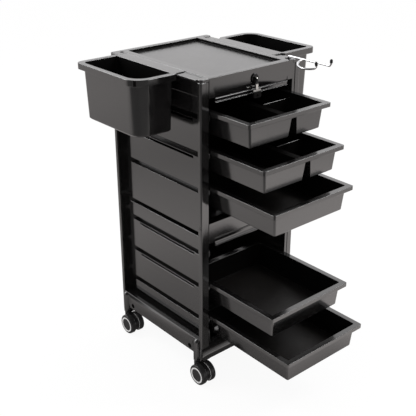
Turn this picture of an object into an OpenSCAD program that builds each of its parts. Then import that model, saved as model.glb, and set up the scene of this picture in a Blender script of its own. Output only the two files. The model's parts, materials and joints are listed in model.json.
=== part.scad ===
// Rolling salon trolley: a plastic cabinet on four twin-wheel casters, with five
// hanging drawers, two hook-on side bins, a wire hair-dryer holder and a cam lock.
// Millimetres, +Z up, floor at z = 0. X runs along the front, the drawers face -Y.

/* [Cabinet] */
// Width across the corner posts
cab_w = 335; // [325:1:420]
// Depth from the front posts to the rear posts
cab_d = 371; // [350:1:460]
// Height from the floor to the rim of the top tray
cab_h = 850; // [835:1:1050]
// Height of the underside of the caster sockets above the floor
socket_z = 62; // [62:1:80]
// Thickness of the posts from front to back
post_t = 12; // [10:0.5:16]
// Width of the front posts
post_w = 26.5; // [24:0.5:34]
// Width of the rear posts
rear_post_w = 42.5; // [40:0.5:50]
// Depth of the step along the inner side of the front posts
post_step = 1.5; // [0.5:0.1:3]
// Wall thickness of the moulded panels
wall = 2; // [1.6:0.1:2.5]

/* [Top tray] */
// Thickness of the tray's outer edge
tray_edge = 8; // [7:0.5:12]
// Depth of the recess in the top
recess_depth = 8; // [6:0.5:18]
// Distance from the cabinet's side to the recess
recess_side = 47.5; // [44:0.5:60]
// Width of the rim in front of the recess
recess_front = 19.5; // [16:0.5:30]
// Width of the rim behind the recess
recess_rear = 14.5; // [13:0.5:30]
// Width of the bin seat along each side
seat_w = 29.5; // [28:0.5:34]
// Depth of the bin seat, which is the thickness of the bin's hook
seat_t = 3; // [2.5:0.1:4]
// Radius of the accessory holes in the tray
socket_r = 5.5; // [4.5:0.1:6.5]
// Distance of the accessory holes from the cabinet's side
socket_side = 24.5; // [20:0.5:26]

/* [Front rails] */
// Height of the front fascia
fascia_h = 49; // [44:1:56]
// Height of the pull lip under the fascia and the middle shelf, below its bar's upper edge
lip_h = 14; // [12:0.5:18]
// How far the pull lip stands in front of the cabinet
lip_out = 3.5; // [2:0.5:5]
// Height of the middle shelf's top above the floor
shelf_z = 473; // [465:1:480]
// Height of the middle shelf's apron
shelf_h = 56; // [50:1:60]
// Height of the top of the base above the floor
floor_z = 102; // [100:1:110]

/* [Side panels] */
// Distance from the cabinet's side to the panels' outer face
panel_inset = 22.5; // [20:0.5:23]
// Height of the grooves that form the drawer runners
groove_h = 14; // [10:0.5:15]
// Height of the slots along the top of the panel's slabs
slot_h = 6; // [3:0.5:7]
// Length of the slots
slot_len = 240; // [180:1:260]

/* [Drawers] */
// Length of a drawer over its rim
drawer_len = 330; // [300:1:334]
// Height of a drawer
drawer_h = 66; // [58:1:72]
// Width of a drawer's rim
rim_w = 13; // [12:0.5:15]
// Height of the rim's turned-down edge
rim_h = 11; // [9:0.5:13]
// Radius of the rim's corners
rim_corner = 5; // [3:0.5:10]
// Wall thickness of the drawers
drawer_wall = 2; // [1.6:0.1:2.4]
// How much a drawer narrows from its rim to its floor, each side
drawer_draft = 6; // [3:0.5:9]
// How much a drawer narrows at its front and at its back
drawer_end_draft = 3.5; // [0.5:0.5:6]
// Radius of the upright corners of a drawer's tub
tub_corner = 6; // [6:1:14]
// Height of the top drawer's rim above the floor
upper_rim_z = 769; // [760:1:772]
// Distance between the three upper drawers
upper_pitch = 97; // [94:1:99]
// Height of the fourth drawer's rim above the floor
lower_rim_z = 300; // [294:1:302]
// Distance between the lower drawers' levels
lower_pitch = 100; // [96:1:105]
// Clearance between a drawer and each side of its opening
side_gap = 2; // [1:0.5:3]
// Clearance between a drawer's rim and its runner
runner_gap = 0.3; // [0.2:0.1:0.6]
// How far each drawer is pulled out in the photo, from the top one down
pull = [136, 188, 226, 232, 291]; // [20:1:300]
// Height of the divider in the two top drawers below the rim
divider_drop = 17; // [12:1:25]
// Distance of the divider from the drawer's middle
divider_x = 22; // [10:1:40]
// Distance of the cross rib from the drawer's front edge
cross_y = 128; // [100:1:180]

/* [Side bins] */
// Width of a bin over its rim
bin_w = 126; // [100:1:150]
// Length of a bin over its rim
bin_len = 256; // [220:1:270]
// Height of a bin
bin_h = 147; // [120:1:190]
// Width of the rim along the bin's outer sides
bin_rim = 12; // [10:0.5:16]
// Width of the rim along the cabinet
bin_inner_rim = 6; // [5:0.5:9]
// Height of the bin rim's turned-down edge
bin_skirt = 16; // [12:0.5:22]
// Wall thickness of the bins
bin_wall = 2.2; // [1.8:0.1:2.6]
// How much a bin narrows towards its floor, each side
bin_draft = 4; // [2:0.5:8]
// Radius of a bin's large outer corner
bin_corner = 42; // [24:1:46]
// Radius of a bin's other outer corner
bin_mid_corner = 18; // [12:1:24]
// Radius of a bin's corners beside the cabinet
bin_small_corner = 8; // [5:0.5:12]
// Clearance between a bin and the cabinet's side
bin_gap = 0.3; // [0.2:0.1:1]
// How far the left and right bins sit behind the cabinet's middle
bin_y = [27, 4]; // [0:1:30]

/* [Casters] */
// Radius of the wheels
wheel_r = 29.5; // [26:0.5:30]
// Width of one wheel
wheel_w = 16; // [13:0.5:18]
// Distance between the two wheels of a caster
wheel_gap = 14; // [12:0.5:16]
// Distance from the swivel axis to the axle
trail = 22; // [18:0.5:25]
// Distance of the swivel axes from the cabinet's sides
caster_side = 2.5; // [0:0.5:10]
// Distance of the swivel axes from the cabinet's front and back
caster_end = 20.5; // [14:0.5:30]
// Radius of the caster's axle
axle_r = 3; // [2.5:0.1:4]
// Radius of the caster's pivot pin
pivot_r = 4; // [3:0.1:5]
// Radius of the stem that is pushed into the base
stem_r = 5.5; // [4.5:0.1:6.5]

/* [Lock and key] */
// Distance of the lock from the middle of the fascia
lock_x = 5; // [-60:1:60]
// Distance of the lock below the tray's rim
lock_drop = 24; // [23:0.5:25]
// Radius of the lock's plug
plug_r = 6; // [5:0.1:6.5]
// Length of the key's folding grip
grip_len = 16; // [12:1:24]
// Width of the key's folding grip
grip_w = 26; // [18:1:28]
// How far the folded grip leans out, in degrees
grip_lean = 4; // [0:1:30]

/* [Dryer holder] */
// Radius of the holder's wire
wire_r = 2.5; // [2:0.1:3]
// Radius of the open ring, to the middle of its wire
ring_r = 40; // [34:1:46]
// Length of the straight arm, from the socket's axis
arm_len = 144; // [120:1:160]
// Distance of the ring's middle in front of the socket
ring_ahead = 90; // [80:1:95]
// How far the ring dips away from the arm, in degrees
ring_tilt = 11.5; // [0:0.5:15]
// Height of the wire's middle above the tray
wire_rise = 6; // [5:0.5:10]
// Length of the turned-up ends
tip_len = 14; // [12:1:30]

/* [Hidden] */
$fn = 64;

gloss_black = "#17181a";
soft_black = "#26272a";
steel = "#c4c6c9";
white_trim = "#e8e8e6";
eps = 0.01;                             // makes cuts run past a face
fit = 0.05;                             // radial clearance of a shaft in its hole

half_w = cab_w / 2;
half_d = cab_d / 2;
// The frame's origin is the middle of the whole object's footprint, so the
// cabinet sits behind it by half of what the lowest drawer reaches forward.
cab_y = max(pull) / 2;

opening_half = half_w - post_w;         // half the width between the front posts
post_y = half_d - post_t;               // inner faces of the posts
panel_x = half_w - panel_inset;         // outer face of the side panels
panel_in = panel_x - wall;              // their inner face
rim_half = opening_half - side_gap;
body_half = rim_half - rim_w;           // a drawer's tub at its rim
ledge_x = body_half + side_gap - 0.5;   // inner edge of the runner ledges
slab_end = half_d - 40.5;               // rear end of the panels' slabs

tray_under = cab_h - tray_edge;         // where the posts end
skirt_z = cab_h - fascia_h - 3;         // lower edge of the tray's side skirts
front_skin = 3;                         // thickness of fascia, aprons and skirts
lip_inset = 19;                         // from a front post to the end of a pull lip
ridge_top = 10;                         // of a pull lip's ridge, above its bar's upper edge
ridge_out = 1.5;
bar_face = 8;                           // height of a pull lip's sloping face
bead_out = 2.5;
lip_half = opening_half - lip_inset;
fascia_ledge = 3.5;                     // from the fascia's edge down to its pull's ledge
cove_h = 15;                            // height and depth of the cove above that ledge
cove_depth = 2;
bead_drop = 9.5;                        // from the ledge to the bottom of the bead
step_w = 9;                             // width of the step along a front post
slot_start = 45;                        // from the front of a panel to its slots
back_t = 2.5;                           // thickness of the back panels
back_in = 6;                            // how far their inner face lies inside the posts
back_rib_half = 4;                      // half the width of a rib on the back
back_rib_end = 18;                      // from a back panel's edge to its ribs
fascia_z = cab_h - fascia_h;            // lower edge of the fascia
recess_half = half_w - recess_side;
recess_wall = 2.5;
tray_corner = 6;                        // radius of the tray's and the recess's corners
seat_stop = 16.5;                       // from the recess's front to the end of a bin seat
seat_margin = 17.5;                     // from the tray's end to the seat's other end
socket_x = half_w - socket_side;
socket_boss_r = socket_r + 2.5;
socket_y = post_y - socket_boss_r - 0.5;
socket_depth = 26;

rim_z = [upper_rim_z, upper_rim_z - upper_pitch, upper_rim_z - 2 * upper_pitch,
         lower_rim_z, lower_rim_z - lower_pitch];
// Runner tops, from the top down; the first lower one carries no drawer.
upper_runners = [for (i = [0:2]) rim_z[i] - rim_h - runner_gap];
lower_runners = [for (i = [-1:1]) lower_rim_z - i * lower_pitch - rim_h - runner_gap];
tub_edge = 2.5;                         // rounding between a tub's walls and its floor
divider_foot = 15;                      // half the divider's width at the floor
divider_ridge = 8.5;                    // and at its ridge
cross_t = 3;                            // thickness of the cross rib
cross_rise = 3;                         // how far it stands above the divider

upper_panel_z = shelf_z - 35;           // lower edge of the upper panels
lower_panel_z = upper_panel_z - 9;      // upper edge of the lower panels
slab_foot_z = floor_z + 40;             // lower edge of the lower panels' slabs
shelf_apron_z = shelf_z - shelf_h;

rail_top = floor_z + 27;                // the base's side rails
rail_foot = socket_z + 17;
rail_hole_r = 7;
rail_hole_y = half_d - 51.5;
rail_rib_in = 11;                       // from a rail's outside to the rib behind its hole
rail_rib_half = 22;
rail_rib_drop = 4;                      // how far the rib hangs below the rail
block_w = 30.5;                         // corner blocks of the base
block_d = 35;
stem_x = half_w - caster_side;
stem_y = half_d - caster_end;
boss_r = 11.5;                          // half-round stem housings on the rails
dome_z = rail_top - boss_r - 1;         // where their domed tops begin
stem_len = 36;

screw_r = 2;
screw_head_r = 3.5;
screw_head_h = 2.4;
screw_len = 46;
screw_z = shelf_z - 7;
screw_y = half_d - post_t / 2;
screw_boss = 25;                        // length of the shelf's front screw bosses
rear_boss = 14;                         // and of its rear ones
screw_boss_drop = 5;                    // from a screw down to its boss's underside
cross_slot = [3.6, 0.8, 2.4];           // cut for the screwdriver

// Rectangle with its own radius at each corner, anticlockwise from low x, low y
module rect_radii(x0, y0, x1, y1, r) {
    corners = [[x0, y0, 1, 1], [x1, y0, -1, 1], [x1, y1, -1, -1], [x0, y1, 1, -1]];
    round_ones = [for (i = [0:3]) if (r[i] > 0) i];
    difference() {
        translate([x0, y0]) square([x1 - x0, y1 - y0]);
        for (i = round_ones)
            translate([corners[i][0] + corners[i][2] * (r[i] / 2 - 1),
                       corners[i][1] + corners[i][3] * (r[i] / 2 - 1)])
                square(r[i] + 2, center = true);
    }
    for (i = round_ones)
        translate([corners[i][0] + corners[i][2] * r[i],
                   corners[i][1] + corners[i][3] * r[i]])
            circle(r[i]);
}

// Rectangle with one radius
module rounded(x0, y0, x1, y1, r) {
    rect_radii(x0, y0, x1, y1, [r, r, r, r]);
}

// Box between two corners
module box(low, high) {
    translate(low) cube(high - low);
}

// Upright prism of a plan outline
module upright(z0, z1) {
    translate([0, 0, z0]) linear_extrude(z1 - z0) children();
}

// Prism of an x-z outline, running along Y
module along_y(y0, y1) {
    translate([0, y1, 0]) rotate([90, 0, 0]) linear_extrude(y1 - y0) children();
}

// Prism of a y-z outline, running along X
module along_x(x0, x1) {
    translate([x0, 0, 0]) rotate([90, 0, 90]) linear_extrude(x1 - x0) children();
}

// Places a piece that is drawn about the cabinet's middle
module at_cabinet() {
    translate([0, cab_y, 0]) children();
}

// Mirrors a piece that is drawn on the right to side -1, the left
module on_side(side) {
    if (side < 0) mirror([1, 0, 0]) children();
    else children();
}

// Both sides at once
module both_sides() {
    children();
    mirror([1, 0, 0]) children();
}

// ---- Cabinet ----

module tray_plate() {
    upright(tray_under, cab_h)
        rounded(-half_w, -half_d, half_w, half_d, tray_corner);
    // the recess's own walls and floor
    upright(min(cab_h - recess_depth - recess_wall, tray_under), tray_under + eps)
        rounded(-recess_half - recess_wall, recess_front - recess_wall - half_d,
                recess_half + recess_wall, half_d - recess_rear + recess_wall,
                tray_corner + recess_wall);
    // skirts that drop inside the cabinet
    both_sides()
        box([panel_in, -post_y, skirt_z], [panel_in + front_skin, post_y, tray_under + eps]);
    box([-panel_in, post_y - front_skin, skirt_z], [panel_in, post_y, tray_under + eps]);
    for (s = [-1, 1])
        translate([s * socket_x, -s * socket_y, cab_h - socket_depth])
            cylinder(h = socket_depth - tray_edge + eps, r = socket_boss_r);
}

module top_tray() {
    color(gloss_black) at_cabinet() difference() {
        tray_plate();
        upright(cab_h - recess_depth, cab_h + 1)
            rounded(-recess_half, recess_front - half_d,
                    recess_half, half_d - recess_rear, tray_corner);
        // bin seats: each stops short of the accessory hole at its end
        box([half_w - seat_w, recess_front + seat_stop - half_d, cab_h - seat_t],
            [half_w + 1, half_d - seat_margin, cab_h + 1]);
        box([-half_w - 1, seat_margin - half_d, cab_h - seat_t],
            [seat_w - half_w, half_d - recess_front - seat_stop, cab_h + 1]);
        for (s = [-1, 1])
            translate([s * socket_x, -s * socket_y, cab_h - socket_depth - 1])
                cylinder(h = socket_depth + 2, r = socket_r);
        // the fascia stands in front of the plate
        box([-opening_half, -half_d - 1, tray_under - 1],
            [opening_half, front_skin - half_d, cab_h + 1]);
    }
}

// Pull lip along an apron: a thin ridge, a bar that slopes outwards and a bead under it
module pull_lip(bar_top) {
    along_x(-lip_half, lip_half)
        translate([-half_d, bar_top])
            polygon([[front_skin, ridge_top], [0, ridge_top],
                     [-ridge_out, ridge_top - ridge_out], [-ridge_out, ridge_top - 2 * ridge_out],
                     [0, ridge_top - 3 * ridge_out], [0, 0],
                     [-lip_out, -bar_face], [-lip_out, -bar_face - 1],
                     [-1, 3 - lip_h], [-bead_out, 2 - lip_h],
                     [-bead_out, -lip_h], [front_skin, -lip_h]]);
}

// The tray's pull: a cove runs down to a ledge, and a bead lies along the lower edge
module pull_cove(ledge) {
    along_x(-lip_half, lip_half)
        translate([-half_d, ledge])
            polygon([[-1, cove_h], [0, cove_h], [cove_depth, ridge_out], [cove_depth, 0], [-1, 0]]);
}

module pull_bead(ledge) {
    along_x(-lip_half, lip_half)
        translate([-half_d, ledge])
            polygon([[front_skin, fascia_ledge + 1], [cove_depth, fascia_ledge + 1],
                     [cove_depth, ridge_out], [0.8 - ridge_out, ridge_out],
                     [-ridge_out, ridge_out - 0.8], [-ridge_out, 0], [1, -ridge_out],
                     [1, 2 - bead_drop], [-ridge_out, 1 - bead_drop],
                     [-ridge_out, -bead_drop], [front_skin, -bead_drop]]);
}

module front_fascia() {
    color(gloss_black) at_cabinet() union() {
        difference() {
            union() {
                box([-opening_half, -half_d, fascia_z],
                    [opening_half, front_skin - half_d, cab_h]);
                both_sides()
                    box([opening_half - 2.5, -half_d, fascia_z],
                        [opening_half, -post_y, tray_under]);
            }
            pull_cove(fascia_z - fascia_ledge);
            translate([lock_x, 1 - half_d + front_skin, cab_h - lock_drop])
                rotate([90, 0, 0]) cylinder(h = front_skin + 2, r = barrel_r + fit);
        }
        pull_bead(fascia_z - fascia_ledge);
    }
}

module front_post(side) {
    color(gloss_black) at_cabinet() on_side(side) difference() {
        upright(floor_z, tray_under)
            rect_radii(opening_half, -half_d, half_w, -post_y, [1, 4, 1, 1]);
        box([opening_half - 1, -half_d - 1, floor_z - 1],
            [opening_half + step_w, post_step - half_d, tray_under + 1]);
        translate([0, -screw_y, screw_z]) screw_hole();
    }
}

module rear_post(side) {
    color(gloss_black) at_cabinet() on_side(side) difference() {
        upright(floor_z, tray_under)
            rect_radii(half_w - rear_post_w, post_y, half_w, half_d, [1, 1, 4, 1]);
        translate([0, screw_y, screw_z]) screw_hole();
    }
}

// One side panel: slabs between inward grooves whose tops carry the drawers
module side_panel(z0, z1, runners) {
    difference() {
        union() {
            box([panel_in, -post_y, z0], [panel_x, slab_end, z1]);
            box([ledge_x, slab_end - wall, z0], [panel_x, slab_end, z1]);
            box([ledge_x, slab_end - wall, z0], [ledge_x + wall, post_y, z1]);
            for (z = runners)
                box([ledge_x, -post_y, z - groove_h - 2 * wall], [panel_x, slab_end, z]);
            box([ledge_x, -post_y, z0], [panel_x, slab_end, z0 + wall]);
        }
        for (z = runners)
            box([ledge_x + wall, -post_y - 1, z - groove_h - wall],
                [panel_x + 1, slab_end + 1, z - wall]);
        for (i = [0:1])
            translate([0, 0, runners[i] - groove_h - 2 * wall - slot_h])
                box([panel_in - 1, slot_start - post_y, 0],
                    [panel_x + 1, slot_len + slot_start - post_y, slot_h]);
    }
}

module upper_panel(side) {
    color(gloss_black) at_cabinet() on_side(side)
        side_panel(upper_panel_z, skirt_z, upper_runners);
}

module lower_panel(side) {
    color(gloss_black) at_cabinet() on_side(side) {
        side_panel(slab_foot_z, lower_panel_z, lower_runners);
        // bead along the joint with the upper panel
        box([panel_in, -post_y, lower_panel_z - 3],
            [panel_x + 4, slab_end + 4, lower_panel_z]);
        // set-back foot that stands on the base
        box([ledge_x, -post_y, floor_z], [ledge_x + wall, post_y, slab_foot_z + eps]);
    }
}

module back_panel(z0, z1) {
    color(soft_black) at_cabinet() {
        back_half = half_w - rear_post_w;
        back_y = half_d - back_in;
        box([-back_half, back_y, z0], [back_half, back_y + back_t, z1]);
        for (x = [-0.6, -0.2, 0.2, 0.6])
            box([x * back_half - back_rib_half, back_y + back_t - eps, z0 + back_rib_end],
                [x * back_half + back_rib_half, half_d - 2, z1 - back_rib_end]);
    }
}

module middle_shelf() {
    shelf_rear = half_w - rear_post_w;
    plate_z = shelf_z - front_skin;
    color(gloss_black) at_cabinet() difference() {
        union() {
            box([-opening_half, -half_d, shelf_apron_z],
                [opening_half, front_skin - half_d, shelf_z]);
            pull_lip(shelf_apron_z + 2);
            box([-opening_half, -half_d, plate_z], [opening_half, eps - post_y, shelf_z]);
            box([-panel_in, -post_y, plate_z], [panel_in, slab_end - wall, shelf_z]);
            box([-ledge_x, -post_y, plate_z], [ledge_x, post_y, shelf_z]);
            box([-shelf_rear, post_y - eps, plate_z], [shelf_rear, half_d - back_in, shelf_z]);
            both_sides() {
                // side flanges that stand on the panels' bottom plates
                box([panel_in - 2.5, -post_y, upper_panel_z + wall],
                    [panel_in, slab_end - wall, shelf_z]);
                // bosses for the post screws
                box([opening_half - screw_boss, -half_d, screw_z - screw_boss_drop],
                    [opening_half, -post_y, shelf_z]);
                box([shelf_rear - rear_boss, post_y - eps, screw_z - screw_boss_drop],
                    [shelf_rear, half_d - 1.5, shelf_z]);
            }
            box([-ledge_x, post_y - front_skin, upper_panel_z], [ledge_x, post_y, shelf_z]);
        }
        both_sides() for (s = [-1, 1])
            translate([0, s * screw_y, screw_z]) screw_hole();
    }
}

// Hole for one post screw, drawn on the right side
module screw_hole() {
    translate([half_w - screw_len - 1, 0, 0]) rotate([0, 90, 0])
        cylinder(h = screw_len + 2, r = screw_r + fit, $fn = 24);
    translate([half_w - screw_head_h, 0, 0]) rotate([0, 90, 0])
        cylinder(h = screw_head_h + 1, r = screw_head_r + fit, $fn = 32);
}

module frame_screws() {
    color(soft_black) at_cabinet()
        both_sides() for (s = [-1, 1])
            translate([half_w, s * screw_y, screw_z]) rotate([0, -90, 0]) {
                difference() {
                    cylinder(h = screw_head_h, r = screw_head_r, $fn = 32);
                    for (a = [0, 90])
                        rotate([0, 0, a]) cube(cross_slot, center = true);
                }
                cylinder(h = screw_len, r = screw_r, $fn = 24);
            }
}

// Corner block with the half-round housing of the caster stem
module base_corner(sx, sy) {
    mirror([sx < 0 ? 1 : 0, 0, 0]) mirror([0, sy < 0 ? 1 : 0, 0]) {
        upright(socket_z, floor_z)
            rect_radii(half_w - block_w, half_d - block_d, half_w, half_d, [2, 2, 4, 2]);
        translate([stem_x, stem_y, socket_z]) cylinder(h = dome_z - socket_z, r = boss_r);
        translate([stem_x, stem_y, dome_z]) sphere(r = boss_r);
    }
}

module base_frame() {
    color(gloss_black) at_cabinet() difference() {
        union() {
            for (sx = [-1, 1], sy = [-1, 1])
                intersection() {
                    base_corner(sx, sy);
                    // the post stands here, so the housing keeps out of it
                    union() {
                        box([-cab_w, -cab_d, 0], [cab_w, cab_d, floor_z]);
                        box([-cab_w, -post_y, 0], [cab_w, post_y, cab_h]);
                    }
                }
            box([-half_w + 4, -half_d + front_skin - eps, floor_z - 2.5],
                [half_w - 4, half_d - front_skin + eps, floor_z]);
            for (s = [-1, 1])
                along_y(s * (half_d - front_skin / 2) - front_skin / 2,
                        s * (half_d - front_skin / 2) + front_skin / 2)
                    rounded(4 - half_w, socket_z + 1, half_w - 4, floor_z, 1);
            both_sides() {
                box([half_w - front_skin, -post_y, rail_foot], [half_w, post_y, rail_top]);
                box([ledge_x + wall, -post_y, rail_top - 3], [half_w, post_y, rail_top]);
                for (sy = [-1, 1])
                    box([half_w - rail_rib_in - wall, sy * rail_hole_y - rail_rib_half,
                         rail_foot - rail_rib_drop],
                        [half_w - rail_rib_in, sy * rail_hole_y + rail_rib_half, floor_z - 1]);
            }
        }
        for (sx = [-1, 1], sy = [-1, 1])
            translate([sx * stem_x, sy * stem_y, socket_z - 1])
                cylinder(h = stem_len + 2, r = stem_r + fit);
        for (sx = [-1, 1], sy = [-1, 1])
            translate([sx * (half_w - front_skin - 1) - (sx < 0 ? front_skin + 2 : 0),
                       sy * rail_hole_y, rail_foot + 12])
                rotate([0, 90, 0]) cylinder(h = front_skin + 2, r = rail_hole_r);
    }
}

// ---- Drawers ----

// Solid tub of a drawer, smaller by inset all round
module drawer_tub(inset, floor_up) {
    top_half = body_half - inset;
    low_half = top_half - drawer_draft;
    end = rim_w + inset;
    low_end = end + drawer_end_draft;
    corner = tub_corner - inset;
    bottom = floor_up - drawer_h;
    hull() {
        upright(-rim_h / 2, 0)
            rounded(-top_half, end, top_half, drawer_len - end, corner, $fn = 32);
        upright(bottom + tub_edge, bottom + tub_edge + 1)
            rounded(-low_half, low_end, low_half, drawer_len - low_end, corner, $fn = 32);
        upright(bottom, bottom + 1)
            rounded(tub_edge - low_half, low_end + tub_edge, low_half - tub_edge,
                    drawer_len - low_end - tub_edge, corner - tub_edge, $fn = 32);
    }
}

// Ridge outline of the hollow divider, drawer_wall thicker when it is solid
module divider_outline(grow) {
    foot = divider_foot + grow;
    ridge = divider_ridge + grow;
    ridge_z = grow - divider_drop - drawer_wall;
    translate([divider_x, 0])
        polygon([[-foot, -drawer_h], [foot, -drawer_h], [ridge, ridge_z], [-ridge, ridge_z]]);
}

module drawer_rim() {
    difference() {
        upright(-rim_h, 0) rounded(-rim_half, 0, rim_half, drawer_len, rim_corner);
        upright(-rim_h - 1, -drawer_wall)
            rounded(drawer_wall - rim_half, drawer_wall, rim_half - drawer_wall,
                    drawer_len - drawer_wall, rim_corner - drawer_wall);
    }
}

module drawer(i, divided) {
    color(gloss_black) at_cabinet()
        translate([0, -half_d - pull[i], rim_z[i]]) {
            difference() {
                union() {
                    drawer_rim();
                    drawer_tub(0, 0);
                }
                translate([0, 0, eps]) drawer_tub(drawer_wall, drawer_wall);
                if (divided)
                    translate([0, 0, -eps]) along_y(0, drawer_len) divider_outline(0);
            }
            if (divided) {
                difference() {
                    intersection() {
                        drawer_tub(drawer_wall / 2, 0);
                        along_y(rim_w, drawer_len - rim_w) divider_outline(drawer_wall);
                    }
                    translate([0, 0, -eps]) along_y(0, drawer_len) divider_outline(0);
                }
                intersection() {
                    drawer_tub(drawer_wall / 2, 0);
                    box([divider_x + divider_ridge + 1, cross_y, -drawer_h],
                        [body_half, cross_y + cross_t, cross_rise - divider_drop]);
                }
            }
        }
}

// ---- Side bins ----

bin_edge = 4;                           // rounding between a bin's walls and its floor
hook_short = 9;                         // how much shorter the hook is at each end

// Plan outline of a bin, drawn on the right, smaller by inset all round
module bin_outline(inset_in, inset_out) {
    large = bin_corner - inset_out / 4;
    middle = bin_mid_corner - inset_out / 4;
    small = max(bin_small_corner - inset_out / 4, 2);
    rect_radii(half_w + bin_gap + inset_in, inset_out - bin_len / 2,
               half_w + bin_gap + bin_w - inset_out, bin_len / 2 - inset_out,
               [small, middle, large, small], $fn = 32);
}

module bin_tub(inset, floor_up) {
    low = inset + bin_draft;
    bottom = cab_h - bin_h + floor_up;
    hull() {
        upright(cab_h - 6, cab_h)
            bin_outline(bin_inner_rim + inset, bin_rim + inset);
        upright(bottom + bin_edge, bottom + bin_edge + 1)
            bin_outline(bin_inner_rim + low, bin_rim + low);
        upright(bottom, bottom + 1)
            bin_outline(bin_inner_rim + low + bin_edge, bin_rim + low + bin_edge);
    }
}

// Both bins are one moulding: the left one is the right one turned half round
module bin(side, y) {
    color(gloss_black) at_cabinet() translate([0, y, 0])
        rotate([0, 0, side < 0 ? 180 : 0]) difference() {
        union() {
            difference() {
                upright(cab_h - bin_skirt, cab_h) bin_outline(0, 0);
                upright(cab_h - bin_skirt - 1, cab_h - bin_wall)
                    bin_outline(bin_wall, bin_wall);
            }
            bin_tub(0, 0);
            // hook that lies in the seat along the tray
            upright(cab_h - seat_t, cab_h)
                rounded(half_w - seat_w + 0.5, hook_short - bin_len / 2, half_w + 4,
                        bin_len / 2 - hook_short, 3);
        }
        translate([0, 0, eps]) bin_tub(bin_wall, bin_wall);
    }
}

// ---- Lock and folding key ----

barrel_r = plug_r + 3;
lock_z = cab_h - lock_drop;
barrel_rear = 15;                       // how far the barrel reaches behind the front
plug_rear = 18;
plug_front = 3.4;                       // how far the plug stands out of the fascia
bezel_r = barrel_r + 3;
bezel_t = 2;
nut_t = 4;
cam_len = 40;
cam_t = 2;
key_pivot = 7.5;                        // the key's hinge, in front of the fascia
key_t = 1.8;
blade_half = 3.2;                       // half the height of the key's blade
blade_rear = 13;
notch_pitch = 3;
pin_r = 1.2;                            // hinge pin of the folding grip
ear_t = 1.2;                            // ears on both sides of the blade's eye
neck_half = 4;                          // half the width of the metal neck
neck_start = 9;
bar_z = 27;                             // metal bar along the grip's upper edge
bar_h = 4.5;
metal_t = 3.2;                          // thickness of the neck and the bar
grip_t = 5;
grip_eye_r = 2.5;

// Places a piece on the lock's axis, with +Z pointing out of the front
module at_lock() {
    at_cabinet() translate([lock_x, -half_d, lock_z]) rotate([90, 0, 0]) children();
}

module lock_barrel() {
    color(soft_black) at_lock() difference() {
        union() {
            cylinder(h = bezel_t, r = bezel_r);
            translate([0, 0, bezel_t - eps]) cylinder(h = 1, r1 = bezel_r, r2 = bezel_r - 1.5);
            translate([0, 0, -barrel_rear]) cylinder(h = barrel_rear + eps, r = barrel_r);
        }
        translate([0, 0, -barrel_rear - 1])
            cylinder(h = barrel_rear + 6, r = plug_r + fit);
    }
}

module lock_nut() {
    color(steel) at_lock() translate([0, 0, -front_skin - nut_t]) difference() {
        cylinder(h = nut_t, r = barrel_r + 4, $fn = 6);
        translate([0, 0, -1]) cylinder(h = nut_t + 2, r = barrel_r + fit);
    }
}

module lock_plug() {
    slot = [key_t / 2 + fit, blade_half + 0.1];
    color(soft_black) at_lock() difference() {
        translate([0, 0, -plug_rear]) cylinder(h = plug_rear + plug_front, r = plug_r);
        box([-slot[0], -slot[1], -blade_rear - 1], [slot[0], slot[1], plug_front + 1]);
    }
}

module lock_cam() {
    color(steel) at_lock() translate([0, 0, -plug_rear - cam_t]) linear_extrude(cam_t)
        rounded(-plug_r, -plug_r, cam_len, plug_r, plug_r - 1);
}

module key_blade() {
    color(steel) at_lock() {
        difference() {
            box([-key_t / 2, -blade_half, -blade_rear],
                [key_t / 2, blade_half, key_pivot - 2.5]);
            for (i = [0:3])
                translate([0, blade_half + 0.4, 3 - blade_rear + notch_pitch * i])
                    rotate([45, 0, 0])
                    cube([4, 1.2 + 0.25 * i, 1.2 + 0.25 * i], center = true);
        }
        difference() {
            translate([-key_t / 2, 0, key_pivot]) rotate([0, 90, 0])
                cylinder(h = key_t, r = blade_half);
            translate([-2, 0, key_pivot]) rotate([0, 90, 0]) cylinder(h = 4, r = pin_r + fit);
        }
    }
}

// Places a piece of the folding grip, which hangs from the blade's eye
module at_grip() {
    at_lock() translate([0, 0, key_pivot]) rotate([-grip_lean, 0, 0]) children();
}

// Metal hinge of the folding grip
module key_tongue() {
    bar_half = grip_w / 2;
    half_t = metal_t / 2;
    ear_x = key_t / 2 + ear_t / 2 + 0.3;
    color(steel) at_grip() {
        for (s = [-1, 1])
            translate([s * ear_x, 0, 0]) {
                rotate([0, 90, 0]) cylinder(h = ear_t, r = 3, center = true);
                box([-ear_t / 2, -bar_z, -half_t], [ear_t / 2, 0, half_t]);
            }
        rotate([0, 90, 0]) cylinder(h = 2 * ear_x, r = pin_r, center = true);
        box([-neck_half, -bar_z - eps, -half_t], [neck_half, -neck_start, half_t]);
        box([-bar_half, -bar_z - bar_h, -half_t], [bar_half, -bar_z, half_t]);
    }
}

module key_grip() {
    color(soft_black) at_grip() translate([0, -bar_z - bar_h, -grip_t / 2])
        linear_extrude(grip_t) difference() {
            rounded(-grip_w / 2, -grip_len, grip_w / 2, 0, 5);
            translate([0, 7 - grip_len]) circle(grip_eye_r);
        }
}

// ---- Dryer holder ----

holder_z = cab_h + wire_rise;
bend_r = 6;
arm_end = arm_len - bend_r;
sleeve_len = 22;                        // plastic sleeve in the accessory hole
wire_foot = sleeve_len - 3;             // how far the wire reaches into it
cap_wall = 1.1;
ring_x = 3;                             // the ring's middle, inside the arm
ring_start = acos(ring_x / ring_r);
ring_end = 224;                         // in degrees from the cabinet's right

// Places a piece on the socket's axis, with the arm running towards -Y
module at_socket() {
    at_cabinet() translate([socket_x, -socket_y, 0]) children();
}

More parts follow.
